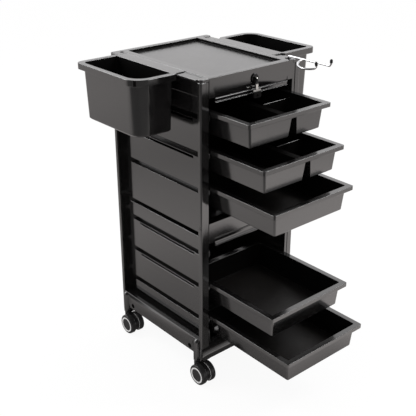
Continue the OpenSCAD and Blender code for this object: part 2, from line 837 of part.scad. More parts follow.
module holder_socket() {
    color(soft_black) at_socket() difference() {
        union() {
            translate([0, 0, cab_h - sleeve_len]) cylinder(h = sleeve_len, r = socket_r - fit);
            translate([0, 0, cab_h]) cylinder(h = 1.5, r = socket_boss_r);
        }
        translate([0, 0, cab_h - sleeve_len + 2]) cylinder(h = sleeve_len, r = wire_r + fit);
        // mouth that clears the wire's bend
        translate([0, 0, cab_h - 0.5]) cylinder(h = 3, r = wire_r + 1);
    }
}

// Quarter bend of the wire, from level along +X to upright
module wire_bend() {
    translate([0, 0, bend_r]) rotate([90, 0, 0]) rotate([0, 0, -90])
        rotate_extrude(angle = 90) translate([bend_r, 0]) circle(wire_r, $fn = 32);
}

// Turned-up end of the wire, which leaves along +X
module wire_tip() {
    wire_bend();
    translate([bend_r, 0, bend_r]) cylinder(h = tip_len - bend_r, r = wire_r, $fn = 32);
}

// Rubber cap of a turned-up end
module tip_cap() {
    cap_z = bend_r + 2;
    translate([bend_r, 0, 0]) difference() {
        union() {
            translate([0, 0, cap_z])
                cylinder(h = tip_len - cap_z, r = wire_r + cap_wall, $fn = 32);
            translate([0, 0, tip_len]) sphere(r = wire_r + cap_wall, $fn = 32);
        }
        translate([0, 0, cap_z - 1]) cylinder(h = tip_len - cap_z + 1, r = wire_r + 0.02, $fn = 32);
    }
}

// Places a piece on the ring's middle, in the plane that dips away from the arm
module at_ring() {
    translate([0, -ring_ahead, holder_z]) rotate([0, -ring_tilt, 0])
        translate([-ring_x, 0, 0]) children();
}

// Places a turned-up end at the arm's end and at the ring's end
module at_tips() {
    translate([0, -arm_end, holder_z]) rotate([0, 0, -90]) children();
    at_ring() translate([ring_r * cos(ring_end), ring_r * sin(ring_end), 0])
        rotate([0, 0, ring_end + 90]) children();
}

module holder_wire() {
    color(steel) at_socket() {
        translate([0, 0, cab_h - wire_foot])
            cylinder(h = wire_rise + wire_foot - bend_r, r = wire_r, $fn = 32);
        translate([0, 0, holder_z]) rotate([180, 0, 90]) translate([-bend_r, 0, 0]) wire_bend();
        translate([0, -bend_r, holder_z]) rotate([90, 0, 0])
            cylinder(h = arm_end - bend_r, r = wire_r, $fn = 32);
        at_ring() rotate([0, 0, ring_start])
            rotate_extrude(angle = ring_end - ring_start, $fn = 96)
                translate([ring_r, 0]) circle(wire_r, $fn = 32);
        at_tips() {
            wire_tip();
            // weld between the stretches of wire
            sphere(r = wire_r + 0.2);
        }
    }
}

module holder_caps() {
    color(soft_black) at_socket() at_tips() tip_cap();
}

// ---- Casters ----

fork_half = wheel_gap / 2 - 1;
neck_r = 8.5;
neck_top = socket_z - 2;
stem_seat_r = stem_r + 3;               // collar of the stem under the base
pin_len = 20;                           // how far the pivot pin reaches into the fork
ring_in = wheel_r - 10.7;               // white trim ring on each wheel's face
ring_out = wheel_r - 6.6;
ring_t = 1.8;

// Places a piece on a caster's swivel axis; sx and sy name the corner
module at_caster(sx, sy) {
    at_cabinet() translate([sx * stem_x, sy * stem_y, 0]) children();
}

module caster_stems() {
    color(steel) for (sx = [-1, 1], sy = [-1, 1]) at_caster(sx, sy) {
        translate([0, 0, socket_z - eps]) cylinder(h = stem_len, r = stem_r);
        translate([0, 0, neck_top + 0.3])
            cylinder(h = socket_z - neck_top - 0.3, r = stem_seat_r);
        translate([0, 0, neck_top - pin_len]) cylinder(h = pin_len + 1, r = pivot_r);
    }
}

module caster_fork(sx, sy) {
    color(gloss_black) at_caster(sx, sy) difference() {
        union() {
            translate([0, 0, neck_top - pin_len - 2]) cylinder(h = pin_len + 2, r = neck_r);
            along_x(-fork_half, fork_half) {
                translate([-trail, wheel_r]) circle(wheel_r - 4);
                polygon([[-trail, wheel_r], [neck_r, wheel_r + 2], [neck_r, neck_top - 2],
                         [-neck_r, neck_top - 1], [-trail, 2 * wheel_r - 4]]);
            }
        }
        // room for the wheels
        for (s = [-1, 1])
            translate([s * (fork_half + 10), -trail, wheel_r]) rotate([0, 90, 0])
                cylinder(h = 20, r = wheel_r + 1.5, center = true);
        translate([0, 0, neck_top - pin_len - 0.5])
            cylinder(h = pin_len + 2, r = pivot_r + fit);
        translate([0, -trail, wheel_r]) rotate([0, 90, 0])
            cylinder(h = 40, r = axle_r + 0.02, center = true);
    }
}

module caster_axle(sx, sy) {
    color(steel) at_caster(sx, sy) translate([0, -trail, wheel_r]) rotate([0, 90, 0])
        cylinder(h = wheel_gap + 2 * wheel_w - 7, r = axle_r, center = true);
}

// One wheel; s is the side of the caster that it is on
module caster_wheel(sx, sy, s) {
    color(soft_black) at_caster(sx, sy) translate([0, -trail, wheel_r])
        rotate([0, s * 90, 0]) difference() {
            rotate_extrude()
                rect_radii(0, wheel_gap / 2, wheel_r, wheel_gap / 2 + wheel_w, [0, 3, 4, 0]);
            translate([0, 0, wheel_gap / 2 - 1]) cylinder(h = wheel_w - 2, r = axle_r + fit);
            translate([0, 0, wheel_gap / 2 + wheel_w - 1.5]) difference() {
                cylinder(h = 4, r = ring_out + 0.1);
                translate([0, 0, -1]) cylinder(h = 6, r = ring_in - 0.1);
            }
            translate([0, 0, wheel_gap / 2 + wheel_w - 0.8]) cylinder(h = 4, r = ring_in + 0.1);
        }
}

module wheel_ring(sx, sy, s) {
    color(white_trim) at_caster(sx, sy) translate([0, -trail, wheel_r])
        rotate([0, s * 90, 0]) translate([0, 0, wheel_gap / 2 + wheel_w - 1.5]) difference() {
            cylinder(h = ring_t, r = ring_out);
            translate([0, 0, -1]) cylinder(h = 6, r = ring_in);
        }
}

top_tray();
front_fascia();
front_post(-1);  // front_left_post
front_post(1);  // front_right_post
rear_post(-1);  // rear_left_post
rear_post(1);  // rear_right_post
upper_panel(-1);  // left_upper_panel
lower_panel(-1);  // left_lower_panel
upper_panel(1);  // right_upper_panel
lower_panel(1);  // right_lower_panel
back_panel(shelf_z, tray_under);  // upper_back_panel
back_panel(floor_z, shelf_z - 12);  // lower_back_panel
middle_shelf();
base_frame();
frame_screws();
caster_stems();
drawer(0, true);  // drawer_1
drawer(1, true);  // drawer_2
drawer(2, false);  // drawer_3
drawer(3, false);  // drawer_4
drawer(4, false);  // drawer_5
bin(-1, bin_y[0]);  // left_bin
bin(1, bin_y[1]);  // right_bin
lock_barrel();
lock_nut();
lock_plug();
lock_cam();
key_blade();
key_tongue();
key_grip();
holder_socket();
holder_wire();
holder_caps();
caster_fork(-1, -1);  // front_left_fork
caster_axle(-1, -1);  // front_left_axle
caster_wheel(-1, -1, -1);  // front_left_outer_wheel
caster_wheel(-1, -1, 1);  // front_left_inner_wheel
wheel_ring(-1, -1, -1);  // front_left_outer_ring
wheel_ring(-1, -1, 1);  // front_left_inner_ring
caster_fork(1, -1);  // front_right_fork
caster_axle(1, -1);  // front_right_axle
caster_wheel(1, -1, 1);  // front_right_outer_wheel
caster_wheel(1, -1, -1);  // front_right_inner_wheel
wheel_ring(1, -1, 1);  // front_right_outer_ring
wheel_ring(1, -1, -1);  // front_right_inner_ring
caster_fork(-1, 1);  // rear_left_fork
caster_axle(-1, 1);  // rear_left_axle
caster_wheel(-1, 1, -1);  // rear_left_outer_wheel
caster_wheel(-1, 1, 1);  // rear_left_inner_wheel
wheel_ring(-1, 1, -1);  // rear_left_outer_ring
wheel_ring(-1, 1, 1);  // rear_left_inner_ring
caster_fork(1, 1);  // rear_right_fork
caster_axle(1, 1);  // rear_right_axle
caster_wheel(1, 1, 1);  // rear_right_outer_wheel
caster_wheel(1, 1, -1);  // rear_right_inner_wheel
wheel_ring(1, 1, 1);  // rear_right_outer_ring
wheel_ring(1, 1, -1);  // rear_right_inner_ring
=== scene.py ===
"""The looks of a rolling salon trolley: black moulded plastic, five drawers, two side bins and a
chromed dryer holder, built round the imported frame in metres, with X along the front, Y to the back
and Z up."""

import json
from math import pi, radians

import bpy
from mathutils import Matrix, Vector
from mathutils.bvhtree import BVHTree

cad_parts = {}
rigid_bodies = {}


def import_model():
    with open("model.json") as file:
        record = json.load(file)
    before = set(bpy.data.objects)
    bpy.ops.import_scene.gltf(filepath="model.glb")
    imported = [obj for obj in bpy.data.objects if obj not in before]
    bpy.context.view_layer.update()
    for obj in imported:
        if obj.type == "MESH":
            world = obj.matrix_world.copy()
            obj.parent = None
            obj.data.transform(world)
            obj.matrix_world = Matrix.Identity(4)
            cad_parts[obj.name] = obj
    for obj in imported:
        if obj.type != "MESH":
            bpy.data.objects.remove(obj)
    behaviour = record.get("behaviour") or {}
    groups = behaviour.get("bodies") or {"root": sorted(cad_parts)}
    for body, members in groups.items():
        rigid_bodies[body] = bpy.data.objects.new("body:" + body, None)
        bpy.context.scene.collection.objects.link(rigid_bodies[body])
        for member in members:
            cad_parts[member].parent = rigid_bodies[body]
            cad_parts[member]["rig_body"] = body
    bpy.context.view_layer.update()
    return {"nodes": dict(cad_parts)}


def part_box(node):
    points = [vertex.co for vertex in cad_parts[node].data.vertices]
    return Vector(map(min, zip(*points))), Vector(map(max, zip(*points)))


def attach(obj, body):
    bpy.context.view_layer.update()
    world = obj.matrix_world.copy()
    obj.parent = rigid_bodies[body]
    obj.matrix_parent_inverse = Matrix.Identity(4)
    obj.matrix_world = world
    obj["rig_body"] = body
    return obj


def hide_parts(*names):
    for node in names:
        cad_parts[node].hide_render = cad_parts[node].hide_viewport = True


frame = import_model()

CORNERS = ("front_left", "front_right", "rear_left", "rear_right")
SIDES = ("left", "right")
DRAWERS = ["drawer_%d" % number for number in range(1, 6)]
DIVIDED_DRAWERS = DRAWERS[:2]

# ---------------------------------------------------------------- the photograph's frame

FRAME_W = 416
FRAME_H = 416
LONG_SIDE = max(FRAME_W, FRAME_H)

LENS = 66.66
SENSOR_WIDTH = 36.0
SHIFT_X = 0.0
SHIFT_Y = 0.0
CAMERA_PLACE = Vector((-1.2856, -1.3687, 1.3258))
CAMERA_TURN = (radians(65.29), 0.0, radians(-40.64))
NEAREST_SEEN = 0.05
FURTHEST_SEEN = 60.0

# A corner of a piece, seen along a direction out from its middle: piece, direction, point.
CORNER_POINTS = {
    "tray_front_left": ("top_tray", (-1, -1, 1), (200.6, 80.4)),
    "tray_back_left": ("top_tray", (-1, 1, 1), (109.6, 52.4)),
    "tray_front_right": ("top_tray", (1, -1, 1), (301.5, 58.4)),
    "tray_back_right": ("top_tray", (1, 1, 1), (206.0, 34.6)),
    "drawer_1_front_left": ("drawer_1", (-1, -1, 1), (249.3, 124.8)),
    "drawer_2_front_right": ("drawer_2", (1, -1, 1), (345.3, 146.0)),
    "drawer_3_front_left": ("drawer_3", (-1, -1, 1), (274.0, 216.0)),
    "drawer_4_front_right": ("drawer_4", (1, -1, 1), (347.6, 284.6)),
    "drawer_5_front_left": ("drawer_5", (-1, -1, 1), (288.3, 365.1)),
}

# A small piece, by the middle of what shows of it.
MIDDLE_POINTS = {
    "lock_face": ("lock_barrel", (255.0, 77.7)),
    "dryer_cap": ("holder_caps", (322.5, 64.0)),
    "front_left_ring": ("front_left_outer_ring", (195.7, 375.2)),
    "rear_left_ring": ("rear_left_outer_ring", (126.9, 324.5)),
}

# Where the placing function puts things: the middle of what shows of each.
PLACING_POINTS = {
    "accessory_hole": (120.3, 51.3),
    "base_plug": (198.5, 343.5),
}


def make_camera():
    data = bpy.data.cameras.new("camera")
    data.lens = LENS
    data.sensor_width = SENSOR_WIDTH
    data.sensor_fit = "AUTO"
    data.shift_x = SHIFT_X
    data.shift_y = SHIFT_Y
    data.clip_start = NEAREST_SEEN
    data.clip_end = FURTHEST_SEEN
    made = bpy.data.objects.new("camera", data)
    bpy.context.scene.collection.objects.link(made)
    made.location = CAMERA_PLACE
    made.rotation_euler = CAMERA_TURN
    bpy.context.scene.camera = made
    bpy.context.view_layer.update()
    return made


camera = make_camera()

# ---------------------------------------------------------------- shader maths


class Signal:
    """One output of a recipe's nodes. Arithmetic on it adds Math nodes."""

    def __init__(self, recipe, socket):
        self.recipe = recipe
        self.socket = socket

    def _math(self, operation, first, second):
        return self.recipe.node("ShaderNodeMath", {"operation": operation}, {0: first, 1: second})

    def __add__(self, other):
        return self._math("ADD", self, other)

    def __radd__(self, other):
        return self._math("ADD", other, self)

    def __sub__(self, other):
        return self._math("SUBTRACT", self, other)

    def __rsub__(self, other):
        return self._math("SUBTRACT", other, self)

    def __mul__(self, other):
        return self._math("MULTIPLY", self, other)

    def __rmul__(self, other):
        return self._math("MULTIPLY", other, self)

    def __pow__(self, other):
        return self._math("POWER", self, other)

    def __abs__(self):
        return self._math("ABSOLUTE", self, 0.0)

    def at_most(self, other):
        return self._math("MINIMUM", self, other)

    def at_least(self, other):
        return self._math("MAXIMUM", self, other)


class Recipe:
    """The nodes of a material or of the world, and the coordinates that its patterns read."""

    def __init__(self, owner, coordinates="Object"):
        owner.use_nodes = True
        self.owner = owner
        self.tree = owner.node_tree
        self.place = self.node("ShaderNodeTexCoord", {}, {}, coordinates)

    def feed(self, socket, value):
        """Links a signal to a socket, or sets a plain value on it."""
        if isinstance(value, Signal):
            self.tree.links.new(value.socket, socket)
        else:
            socket.default_value = value

    def node(self, kind, settings, sockets, output=0):
        """A new node: its settings first, then what its sockets take. Gives one of its outputs."""
        made = self.tree.nodes.new(kind)
        stops = settings.pop("stops", None)
        for name, value in settings.items():
            setattr(made, name, value)
        if stops:
            ramp = made.color_ramp
            while len(ramp.elements) < len(stops):
                ramp.elements.new(0.5)
            for element, (position, level) in zip(ramp.elements, stops):
                element.position = position
                element.color = (level, level, level, 1.0)
        for name, value in sockets.items():
            self.feed(made.inputs[name], value)
        return Signal(self, made.outputs[output])

    def set(self, **values):
        """Feeds the principled shader's sockets, by their names in small letters."""
        surface = self.tree.nodes["Principled BSDF"]
        for name, value in values.items():
            socket = "IOR" if name == "ior" else name.replace("_", " ").title()
            self.feed(surface.inputs[socket], value)

    def stretched(self, x, y, z):
        """The coordinates, scaled by different amounts along the axes."""
        return self.node("ShaderNodeMapping", {}, {"Vector": self.place, "Scale": (x, y, z)})

    def along(self, way):
        """How far a place lies along a direction."""
        return self.node(
            "ShaderNodeVectorMath", {"operation": "DOT_PRODUCT"}, {0: self.place, 1: way}, "Value"
        )

    def noise(self, scale, detail=2.0, rough=0.5, place=None):
        """A noise with this many features a metre, or in each unit of a stretched place."""
        sockets = {"Vector": place or self.place, "Scale": scale, "Detail": detail, "Roughness": rough}
        return self.node("ShaderNodeTexNoise", {}, sockets, "Fac")

    def levels(self, value, *stops):
        """A ramp through stops, each a value and the level that it gives."""
        return self.node("ShaderNodeValToRGB", {"stops": stops}, {"Fac": value})

    def mixed(self, factor, first, second):
        """A colour between two colours. A Mix node's colour sockets go by number."""
        sockets = {0: factor, 6: (*first, 1.0), 7: (*second, 1.0)}
        return self.node("ShaderNodeMix", {"data_type": "RGBA"}, sockets, 2)

    def bumped(self, height, strength, distance):
        sockets = {"Height": height, "Strength": strength, "Distance": distance}
        self.set(normal=self.node("ShaderNodeBump", {}, sockets))


# ---------------------------------------------------------------- finishes

# Above a plain plastic's, because the studio floor here is no brighter than white.
REFLECTIVE_IOR = 2.1
PLASTIC_IOR = 1.5

# How deep the bumps of a moulding's grain and of the finer surfaces are.
GRAIN_DEPTH = 0.0002
FINE_DEPTH = 0.0001

# Colours, most with the dust, haze or bloom that goes with them.
DEEP_BLACK = (0.003, 0.0027, 0.0025)
BROWN_BLACK = (0.0075, 0.0062, 0.0056)
BLACK = (0.0065, 0.0062, 0.0062)
BLACK_DUST = (0.013, 0.0125, 0.012)
WHEEL_BLACK = (0.018, 0.018, 0.018)
WHEEL_DUST = (0.03, 0.03, 0.03)
RUBBER = (0.006, 0.006, 0.006)
RUBBER_BLOOM = (0.018, 0.018, 0.018)
WHITE = (0.83, 0.83, 0.82)
GRIME = (0.6, 0.6, 0.59)
CHROME = (0.86, 0.87, 0.88)
CHROME_HAZE = (0.74, 0.75, 0.76)
KEY_METAL = (0.82, 0.81, 0.78)
KEY_PAINT = (0.008, 0.008, 0.008)
LOCK_METAL = (0.78, 0.77, 0.74)
STEM_METAL = (0.62, 0.62, 0.63)
SCREW_METAL = (0.2, 0.2, 0.2)

# How far below the lock's middle the paint on the key's hinge plate ends, and over what it fades.
KEY_PAINT_DROP = 0.0135
PAINT_FADE = 0.002


def new_finish(name):
    return Recipe(bpy.data.materials.new(name + "_finish"))


def moulded(name, shade, dust, gloss, grain, ior=REFLECTIVE_IOR):
    """Injection-moulded plastic: a fine spark-eroded grain, smudges from handling, rare scuffs."""
    recipe = new_finish(name)
    smudge = recipe.levels(recipe.noise(9.0, detail=4.0, rough=0.6), (0.35, 0.0), (0.7, 1.0))
    speck = recipe.levels(recipe.noise(900.0), (0.62, 0.0), (0.72, 1.0))
    strokes = recipe.noise(1.0, detail=3.0, rough=0.7, place=recipe.stretched(14.0, 160.0, 60.0))
    scuff = recipe.levels(strokes, (0.66, 0.0), (0.74, 1.0))
    dirt = speck * 0.12 + smudge * 0.35 + scuff * 0.3
    recipe.set(
        base_color=recipe.mixed(dirt, shade, dust),
        roughness=gloss + smudge * 0.04 + scuff * 0.08 + recipe.noise(240.0) * 0.03,
        ior=ior,
    )
    recipe.bumped(recipe.noise(1500.0, detail=3.0, rough=0.6), grain, GRAIN_DEPTH)
    return recipe.owner


def brushing(recipe):
    """The fine upright strokes of a brushed metal."""
    return recipe.noise(1.0, detail=3.0, rough=0.6, place=recipe.stretched(3000.0, 3000.0, 200.0))


def key_plate(name, paint_edge):
    """Brushed metal that is painted black above a height, with a fading edge."""
    recipe = new_finish(name)
    rise = recipe.along((0.0, 0.0, 1.0)) - paint_edge
    painted = recipe.levels(rise * (1.0 / PAINT_FADE) + 0.5, (0.0, 0.0), (1.0, 1.0))
    brushed = brushing(recipe)
    recipe.set(
        base_color=recipe.mixed(painted, KEY_METAL, KEY_PAINT),
        metallic=1.0 - painted,
        roughness=0.14 + brushed * 0.08 + painted * 0.12,
    )
    recipe.bumped(brushed, 0.08, FINE_DEPTH)
    return recipe.owner


def chrome(name):
    """Bright plated wire with a faint haze."""
    recipe = new_finish(name)
    haze = recipe.levels(recipe.noise(40.0, detail=3.0), (0.45, 0.0), (0.75, 1.0))
    recipe.set(
        base_color=recipe.mixed(haze, CHROME, CHROME_HAZE),
        metallic=1.0,
        roughness=0.07 + haze * 0.08,
    )
    recipe.bumped(recipe.noise(500.0), 0.05, FINE_DEPTH)
    return recipe.owner


def steel(name, shade, gloss):
    """Brushed metal whose strokes are darker."""
    recipe = new_finish(name)
    brushed = brushing(recipe)
    stroke = tuple(0.7 * level for level in shade)
    recipe.set(
        base_color=recipe.mixed(brushed, shade, stroke),
        metallic=1.0,
        roughness=gloss + brushed * 0.12,
    )
    recipe.bumped(brushed, 0.1, FINE_DEPTH)
    return recipe.owner


def white_ring(name):
    """White plastic trim with grime in patches."""
    recipe = new_finish(name)
    grime = recipe.levels(recipe.noise(120.0, detail=4.0, rough=0.65), (0.5, 0.0), (0.8, 1.0))
    recipe.set(base_color=recipe.mixed(grime, WHITE, GRIME), roughness=0.3 + grime * 0.2)
    recipe.bumped(recipe.noise(800.0), 0.08, FINE_DEPTH)
    return recipe.owner


def soft_rubber(name):
    """Matt black rubber with a pale bloom in patches."""
    recipe = new_finish(name)
    bloom = recipe.levels(recipe.noise(180.0, detail=4.0, rough=0.6), (0.4, 0.0), (0.8, 1.0))
    recipe.set(base_color=recipe.mixed(bloom, RUBBER, RUBBER_BLOOM), roughness=0.42 + bloom * 0.2)
    recipe.bumped(recipe.noise(1200.0), 0.12, FINE_DEPTH)
    return recipe.owner


# The shade, the dust, how rough the gloss is, how strong the grain is, and the index of refraction.
PLASTICS = {
    "cabinet_plastic": (BLACK, BLACK_DUST, 0.1, 0.1),
    "drawer_plastic": (BLACK, BLACK_DUST, 0.1, 0.1),
    "bin_plastic": (BLACK, BLACK_DUST, 0.11, 0.1),
    # Painted shade: a darker, less shiny copy of the black plastic, for faces in hollows and behind
    # holes.
    "painted_shade": (DEEP_BLACK, BLACK, 0.5, 0.5, 1.15),
    "hollow_floor": (BROWN_BLACK, BLACK_DUST, 0.4, 0.4, PLASTIC_IOR),
    "tray_inside": (BLACK, BLACK_DUST, 0.19, 0.2),
    "back_plastic": (BLACK, BLACK_DUST, 0.2, 0.16),
    "caster_plastic": (BLACK, WHEEL_DUST, 0.26, 0.08, PLASTIC_IOR),
    "wheel_plastic": (WHEEL_BLACK, WHEEL_DUST, 0.3, 0.12, PLASTIC_IOR),
    "socket_plastic": (BLACK, WHEEL_DUST, 0.26, 0.05),
    "key_plastic": (DEEP_BLACK, BLACK, 0.3, 0.05, 1.3),
    "lock_black": (DEEP_BLACK, BLACK, 0.16, 0.05, 1.4),
}

lock_low, lock_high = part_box("lock_barrel")
lock_middle = (lock_low + lock_high) / 2.0

FINISHES = {name: moulded(name, *values) for name, values in PLASTICS.items()}
FINISHES["ring_plastic"] = white_ring("ring_plastic")
FINISHES["lock_metal"] = steel("lock_metal", LOCK_METAL, 0.18)
FINISHES["stem_steel"] = steel("stem_steel", STEM_METAL, 0.25)
FINISHES["screw_steel"] = steel("screw_steel", SCREW_METAL, 0.3)
FINISHES["holder_chrome"] = chrome("holder_chrome")
FINISHES["cap_rubber"] = soft_rubber("cap_rubber")
FINISHES["key_tongue"] = key_plate("key_tongue", lock_middle.z - KEY_PAINT_DROP)

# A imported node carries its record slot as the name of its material.
SLOTS = {name: made.data.materials[0].name for name, made in frame["nodes"].items()}


def paint(piece, finish):
    """Gives a piece one finish all over."""
    piece.data.materials.clear()
    piece.data.materials.append(FINISHES[finish])


for node_name, node_object in frame["nodes"].items():
    paint(node_object, SLOTS[node_name])
paint(frame["nodes"]["key_tongue"], "key_tongue")

# ---------------------------------------------------------------- mouldings

# Corners closer than this become one.
SAME_CORNER = 0.00001
# Faces that meet at less than this are made one flat face.
FLAT_ANGLE = radians(0.5)
# Edges sharper than this are rounded, in this many steps.
EDGE_ANGLE = radians(30.0)
EDGE_STEPS = 2
# Edges sharper than these are shaded as edges: on a plain copy, and on one with rounded edges.
PLAIN_CREASE = radians(30.0)
ROUNDED_CREASE = radians(50.0)
# How much the large faces lead the shading of the small ones beside them: the most there is.
FLAT_WEIGHT = 100

# How wide the rounding of each moulding's edges is.
EDGES = {
    "top_tray": 0.0012,
    "front_fascia": 0.0004,
    **{corner + "_post": 0.001 for corner in CORNERS},
    **{"%s_%s_panel" % (side, level): 0.0006 for side in SIDES for level in ("upper", "lower")},
    "middle_shelf": 0.0004,
    **{drawer: 0.0008 for drawer in DRAWERS},
    **{side + "_bin": 0.001 for side in SIDES},
}


def deselect():
    bpy.ops.object.select_all(action="DESELECT")


def focus(piece):
    """Only this piece is selected and active."""
    deselect()
    piece.select_set(True)
    bpy.context.view_layer.objects.active = piece


def body_of_node(node):
    return frame["nodes"][node]["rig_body"]


def merged(node):
    """A copy of a CAD node with its doubles merged, which stands for the node."""
    source = frame["nodes"][node]
    made = source.copy()
    made.data = source.data.copy()
    made.name = node + "_moulding"
    bpy.context.scene.collection.objects.link(made)
    made.parent = None
    for key in [key for key in made.keys() if key.startswith("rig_")]:
        del made[key]
    focus(made)
    bpy.ops.object.mode_set(mode="EDIT")
    bpy.ops.mesh.select_all(action="SELECT")
    bpy.ops.mesh.remove_doubles(threshold=SAME_CORNER)
    bpy.ops.object.mode_set(mode="OBJECT")
    bpy.ops.object.shade_smooth_by_angle(angle=PLAIN_CREASE)
    paint(made, SLOTS[node])
    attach(made, body_of_node(node))
    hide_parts(node)
    return made


def softened(node, width):
    """A merged copy of a CAD node with its flats whole and its edges rounded."""
    made = merged(node)
    bpy.ops.object.mode_set(mode="EDIT")
    bpy.ops.mesh.select_all(action="SELECT")
    bpy.ops.mesh.dissolve_limited(angle_limit=FLAT_ANGLE)
    bpy.ops.object.mode_set(mode="OBJECT")
    bevel = made.modifiers.new("edges", "BEVEL")
    bevel.width = width
    bevel.segments = EDGE_STEPS
    bevel.limit_method = "ANGLE"
    bevel.angle_limit = EDGE_ANGLE
    bevel.use_clamp_overlap = False
    bevel.miter_outer = "MITER_ARC"
    bpy.ops.object.modifier_apply(modifier="edges")
    bpy.ops.object.shade_smooth_by_angle(angle=ROUNDED_CREASE)
    even = made.modifiers.new("flats", "WEIGHTED_NORMAL")
    even.weight = FLAT_WEIGHT
    even.keep_sharp = True
    bpy.ops.object.modifier_apply(modifier="flats")
    return made


MOULDINGS = {node: softened(node, width) for node, width in EDGES.items()}
# The base and the back panels keep sharp edges, because rounding broke faces of the base and of the
# lower back panel. The base has a copy all the same, for the painted shade on its ribs.
MOULDINGS["base_frame"] = merged("base_frame")

# ---------------------------------------------------------------- painted shade and finishes inside the hollows

# How much the normals of the faces rise at least: of walls and floors together, of floors alone, of
# the rounded top of a drawer's cross wall, and of faces that look any way at all.
WALL_RISE = -0.01
FLOOR_RISE = 0.9
CREST_RISE = 0.3
ANY_RISE = -1.1
# An upright face's normal rises or falls by no more than this.
UPRIGHT_RISE = 0.5


def refinish(piece, finish, low, high, least=WALL_RISE, most=1.0):
    """Gives a finish to the faces in a box whose normals rise by more than least, up to most."""
    piece.data.materials.append(FINISHES[finish])
    for face in piece.data.polygons:
        middle = face.center
        boxed = all(low[axis] < middle[axis] < high[axis] for axis in range(3))
        if boxed and least < face.normal.z <= most:
            face.material_index = len(piece.data.materials) - 1


def hollow_of(node, rim):
    """The box of a node less its rim, which holds the faces inside it."""
    low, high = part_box(node)
    return low + rim, high - rim


DRAWER_RIM = Vector((0.0125, 0.0125, 0.002))
DRAWER_FLOOR_REACH = 0.012

# The wall across a divided drawer: how far it is from the front, half of what is taken for its
# thickness, and how far down from the rim its top is looked for.
CROSS_WALL_Y = 0.1295
CROSS_WALL_HALF = 0.004
CROSS_WALL_REACH = 0.03


def finish_drawer(drawer):
    """Painted shade on the inner walls, a browner floor, and plain glossy plastic, which shines, on top
    of the wall across it.
    """
    made = MOULDINGS[drawer]
    low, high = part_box(drawer)
    hollow_low, hollow_high = hollow_of(drawer, DRAWER_RIM)
    refinish(made, "painted_shade", hollow_low, hollow_high)
    floor_high = Vector((hollow_high.x, hollow_high.y, low.z + DRAWER_FLOOR_REACH))
    refinish(made, "hollow_floor", hollow_low, floor_high, least=FLOOR_RISE)
    if drawer in DIVIDED_DRAWERS:
        wall_y = low.y + CROSS_WALL_Y
        wall_low = Vector((hollow_low.x, wall_y - CROSS_WALL_HALF, high.z - CROSS_WALL_REACH))
        wall_high = Vector((hollow_high.x, wall_y + CROSS_WALL_HALF, hollow_high.z))
        refinish(made, SLOTS[drawer], wall_low, wall_high, least=CREST_RISE)


TRAY_RIM = Vector((0.046, 0.0135, 0.0))
TRAY_CREST = Vector((0.0, 0.0, 0.0012))

# The tray is as wide and as deep as the cabinet.
tray_low, tray_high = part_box("top_tray")
tray_middle = (tray_low + tray_high) / 2.0


def finish_tray():
    """Painted shade on the walls round the tray's recess, and a less glossy floor."""
    hollow_low, hollow_high = hollow_of("top_tray", TRAY_RIM)
    refinish(MOULDINGS["top_tray"], "painted_shade", hollow_low, hollow_high - TRAY_CREST)
    refinish(MOULDINGS["top_tray"], "tray_inside", hollow_low, hollow_high - TRAY_CREST, least=FLOOR_RISE)


BIN_RIM = Vector((0.009, 0.0135, 0.0008))


def shade_bin(side):
    """Painted shade on the walls and the floor inside a bin."""
    node = side + "_bin"
    refinish(MOULDINGS[node], "painted_shade", *hollow_of(node, BIN_RIM))


# The ribs behind the holes of the base's side rails, which get painted shade so the holes look dark:
# how far in from the cabinet's sides they lie, how far they reach to the front and back of its middle,
# and their heights.
RIB_IN = (0.0095, 0.0145)
RIB_HALF = 0.158
RIB_HEIGHTS = (0.072, 0.1015)


def shade_ribs(outward):
    """Painted shade on the upright faces of the ribs of one side."""
    across = sorted(outward * (tray_high.x - inset) for inset in RIB_IN)
    rib_low = Vector((across[0], tray_middle.y - RIB_HALF, RIB_HEIGHTS[0]))
    rib_high = Vector((across[1], tray_middle.y + RIB_HALF, RIB_HEIGHTS[1]))
    base = MOULDINGS["base_frame"]
    refinish(base, "painted_shade", rib_low, rib_high, least=-UPRIGHT_RISE, most=UPRIGHT_RISE)


for drawer_name in DRAWERS:
    finish_drawer(drawer_name)
finish_tray()
for side_name in SIDES:
    shade_bin(side_name)
for rib_side in (-1, 1):
    shade_ribs(rib_side)

# ---------------------------------------------------------------- sightlines

FITTINGS = {}


def finished_pieces():
    """Each piece of the object as it shows, by its CAD node's name or its own."""
    shown = {name: made for name, made in frame["nodes"].items() if name not in MOULDINGS}
    return {**shown, **MOULDINGS, **FITTINGS}


def placed_corners(piece):
    return [piece.matrix_world @ vertex.co for vertex in piece.data.vertices]


def surface_of(pieces):
    """One BVHTree of these pieces as placed, with all their corners."""
    corners, faces = [], []
    for piece in pieces:
        start = len(corners)
        corners.extend(placed_corners(piece))
        faces.extend([start + index for index in face.vertices] for face in piece.data.polygons)
    return BVHTree.FromPolygons(corners, faces), corners


def sightline(point):
    """The way from the camera through an image point."""
    across = point[0] - FRAME_W / 2.0 + SHIFT_X * LONG_SIDE
    up = FRAME_H / 2.0 - point[1] + SHIFT_Y * LONG_SIDE
    ahead = -LONG_SIDE * LENS / SENSOR_WIDTH
    return (camera.matrix_world.to_3x3() @ Vector((across, up, ahead))).normalized()


def met(point, pieces):
    """Where the sightline through a point meets these pieces, or comes nearest to them."""
    tree, corners = surface_of(pieces)
    start = camera.matrix_world.translation
    way = sightline(point)
    place, normal = tree.ray_cast(start, way)[:2]
    if place is None:
        nearest = min(corners, key=lambda corner: (corner - start).cross(way).length)
        place, normal = tree.find_nearest(nearest)[:2]
    return place, normal


def image_place(place):
    """Where a place of the scene shows in the photograph: the sightline's formula, turned round."""
    seen = camera.matrix_world.inverted() @ place
    reach = -LONG_SIDE * LENS / SENSOR_WIDTH / seen.z
    across = seen.x * reach - SHIFT_X * LONG_SIDE
    up = seen.y * reach - SHIFT_Y * LONG_SIDE
    return Vector((FRAME_W / 2.0 + across, FRAME_H / 2.0 - up))


# ---------------------------------------------------------------- small fittings

